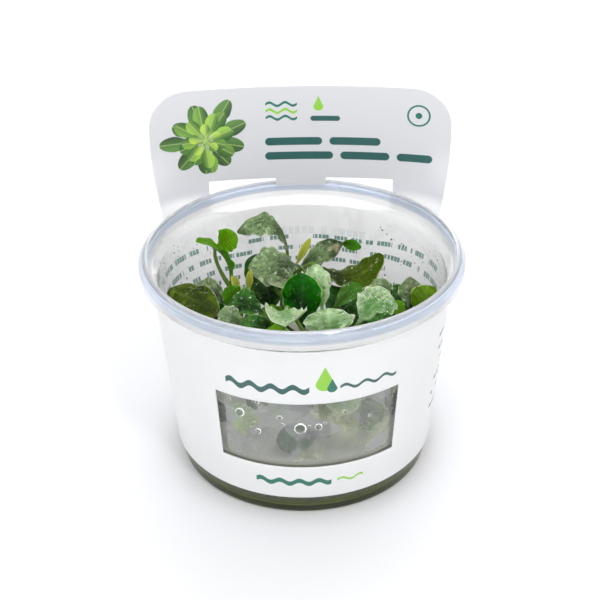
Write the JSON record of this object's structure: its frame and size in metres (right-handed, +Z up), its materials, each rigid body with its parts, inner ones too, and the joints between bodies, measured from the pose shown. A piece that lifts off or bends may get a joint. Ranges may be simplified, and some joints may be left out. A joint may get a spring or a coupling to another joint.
{
  "type": "bucephalandra plant in its culture cup",
  "caption": "Small-leaved bucephalandra aquarium plant on a layer of clear gel in a round clear cup, with a wrapped sleeve that has a window and carries a stand-up tag.",
  "frame": {"origin": "centre of the cup's foot, on the surface that it stands on", "axes": "+Z up along the cup's axis; the sleeve's window faces -Y and the tag stands at +Y"},
  "size_m": [0.084, 0.084, 0.0894],
  "materials": {
    "clear_plastic": "clear, glossy moulded polypropylene",
    "gel": "clear wet culture gel, a little green",
    "printed_film": "satin white printed film",
    "stem": "wet green plant stem",
    "leaf_deep": "wet dark green leaf",
    "leaf_grey": "wet grey-green leaf with fine pale specks",
    "leaf_olive": "olive leaf with a pale rim",
    "leaf_pale": "pale, thin, see-through wet leaf",
    "leaf_vivid": "bright fresh green leaf",
    "leaf_young": "young yellow-green leaf"
  },
  "bodies": {
    "root": {"cup": "clear_plastic", "gel": "gel", "printed_sleeve": "printed_film", "stem_1": "stem", "stem_2": "stem", "stem_3": "stem", "stem_4": "stem", "stem_5": "stem", "stem_6": "stem", "stem_7": "stem", "leaf_01": "leaf_grey", "leaf_02": "leaf_vivid", "leaf_03": "leaf_vivid", "leaf_04": "leaf_grey", "leaf_05": "leaf_deep", "leaf_06": "leaf_young", "leaf_07": "leaf_grey", "leaf_08": "leaf_vivid", "leaf_09": "leaf_olive", "leaf_10": "leaf_vivid", "leaf_11": "leaf_pale", "leaf_12": "leaf_pale", "leaf_13": "leaf_pale", "leaf_14": "leaf_vivid", "leaf_15": "leaf_grey", "leaf_16": "leaf_olive", "leaf_17": "leaf_olive", "leaf_18": "leaf_grey", "leaf_19": "leaf_deep", "leaf_20": "leaf_grey", "leaf_21": "leaf_deep", "leaf_22": "leaf_vivid", "leaf_23": "leaf_young", "leaf_24": "leaf_young", "leaf_25": "leaf_grey", "leaf_26": "leaf_pale", "leaf_27": "leaf_deep", "leaf_28": "leaf_grey", "leaf_29": "leaf_deep", "leaf_30": "leaf_pale", "leaf_31": "leaf_pale", "leaf_32": "leaf_deep", "leaf_33": "leaf_grey", "leaf_34": "leaf_deep", "leaf_35": "leaf_deep", "leaf_36": "leaf_pale", "leaf_37": "leaf_deep", "leaf_38": "leaf_deep", "leaf_39": "leaf_deep", "leaf_40": "leaf_olive", "leaf_41": "leaf_deep", "leaf_42": "leaf_deep", "leaf_43": "leaf_deep", "leaf_44": "leaf_deep", "leaf_45": "leaf_deep", "leaf_46": "leaf_deep", "leaf_47": "leaf_deep", "leaf_48": "leaf_deep", "leaf_49": "leaf_vivid", "leaf_50": "leaf_vivid"}
  },
  "joints": []
}
